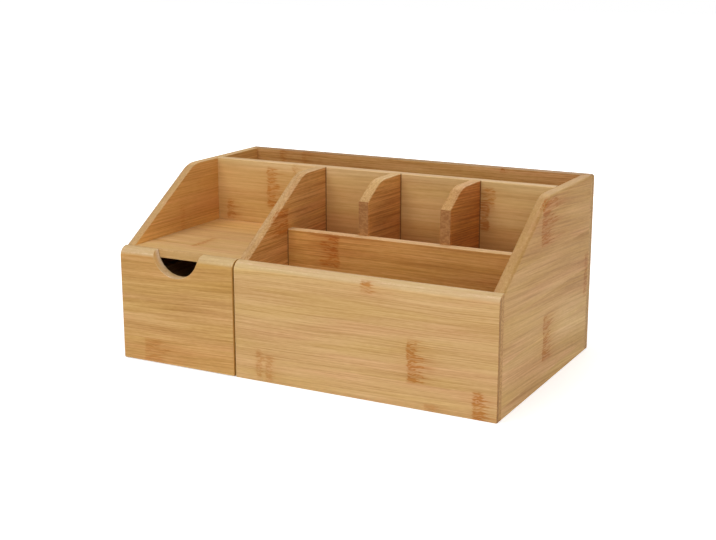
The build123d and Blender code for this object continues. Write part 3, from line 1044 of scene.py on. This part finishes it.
drawer_back = sawn_board("drawer_back_board", back_box_low, back_box_high)
ease_top(drawer_back, 0)
groove(
    drawer_back,
    (bottom_low.x - spare, bottom_low.y, bottom_low.z),
    (bottom_high.x + spare, bottom_high.y, bottom_high.z),
)
finish_board(
    drawer_back,
    bamboo("drawer back bamboo", upright_axes, (130, 240, 220), strip_start=30.0, ply_line=24.0),
    "drawer",
    "drawer_back",
)
bottom_bamboo = bamboo("drawer bottom bamboo", flat_axes, (720, 15, 260), ply_line=12.0)
dress("drawer_bottom", bottom_bamboo)
dress("drawer_dowels", beech)


# Floor. A wide white sheet that the organizer stands on. It keeps a soft shadow under the boards, and
# shines for the camera, half as much close by as where the shadow ends.

floor_width = 12.0
floor_gap = 0.05 * mm
shadow_start, shadow_end = 0.25, 0.9
shine_close_by = 0.5

bpy.ops.object.select_all(action="DESELECT")
bpy.ops.mesh.primitive_plane_add(size=floor_width, location=(0, 0, -floor_gap))
floor = bpy.context.object
floor.name = "floor"
white = bpy.data.materials.new("white floor")
white.use_nodes = True
tree = white.node_tree
seen = add_node(tree, "LightPath").outputs["Is Camera Ray"]
paper = tree.nodes["Principled BSDF"]
paper.inputs["Base Color"].default_value = (0.85, 0.85, 0.85, 1)
paper.inputs["Roughness"].default_value = 0.9
place = add_node(tree, "TexCoord").outputs["Object"]
from_middle = add_node(tree, "VectorMath", {0: place}, operation="LENGTH").outputs["Value"]
past_shadow = fade(tree, from_middle, shadow_start, shadow_end)
glow = calculate(tree, "MULTIPLY_ADD", past_shadow, 1 - shine_close_by, shine_close_by)
glow = calculate(tree, "MULTIPLY", glow, seen)
shine = add_node(tree, "Emission", {"Color": (1, 1, 1, 1), "Strength": glow})
both = add_node(tree, "AddShader", {0: paper.outputs[0], 1: shine.outputs[0]})
tree.links.new(both.outputs[0], tree.nodes["Material Output"].inputs["Surface"])
floor.data.materials.append(white)


# Light. A plain white room, seen as white but giving little light, and six large soft lamps: in front,
# high on the left, on the front right, on the right, above and behind.

lamp_width = 1.0
lamp_distance = 1.9
lamps_aim = Vector((0, 0, 0.07))

world = bpy.data.worlds.new("plain room")
bpy.context.scene.world = world
world.use_nodes = True
tree = world.node_tree
room = tree.nodes["Background"]
room.inputs["Color"].default_value = (1.0, 1.0, 1.0, 1)
room.inputs["Strength"].default_value = 0.12
backdrop = add_node(tree, "Background", {"Color": (1, 1, 1, 1), "Strength": 1.0})
seen = add_node(tree, "LightPath").outputs["Is Camera Ray"]
mixed = add_node(tree, "MixShader", {0: seen, 1: room.outputs[0], 2: backdrop.outputs[0]})
tree.links.new(mixed.outputs[0], tree.nodes["World Output"].inputs["Surface"])


def soft_lamp(name, turn, height, watts):
    """A square soft lamp that points at the organizer, by its angles round it and above the floor."""
    lamp = bpy.data.lights.new(name, "AREA")
    lamp.size = lamp_width
    lamp.energy = watts
    holder = bpy.data.objects.new(name, lamp)
    bpy.context.collection.objects.link(holder)
    turn, height = math.radians(turn), math.radians(height)
    way = Vector((math.sin(turn) * math.cos(height), -math.cos(turn) * math.cos(height), math.sin(height)))
    holder.location = way * lamp_distance
    holder.rotation_mode = "QUATERNION"
    holder.rotation_quaternion = (lamps_aim - holder.location).to_track_quat("-Z", "Y")


soft_lamp("front lamp", 0, 15, 9.6)
soft_lamp("high left lamp", -45, 60, 13.5)
soft_lamp("front right lamp", 45, 35, 6.2)
soft_lamp("right lamp", 90, 10, 8.6)
soft_lamp("top lamp", 0, 89, 9.6)
soft_lamp("rear lamp", 180, 40, 8.1)


# Camera. It stands in front on the right, a little above the organizer, with its place, its aim and its
# lens fitted to the corners of the boards in the photo.

camera = bpy.data.cameras.new("camera")
camera.lens = 64.04
camera.sensor_width = 36.0
viewer = bpy.data.objects.new("camera", camera)
bpy.context.collection.objects.link(viewer)
viewer.location = (0.47683, -0.90158, 0.32607)
looks_at = Vector((-0.00063, 0.0, 0.0709))
viewer.rotation_mode = "QUATERNION"
viewer.rotation_quaternion = (looks_at - viewer.location).to_track_quat("-Z", "Y")
bpy.context.scene.camera = viewer
bpy.context.scene.view_settings.view_transform = "Standard"
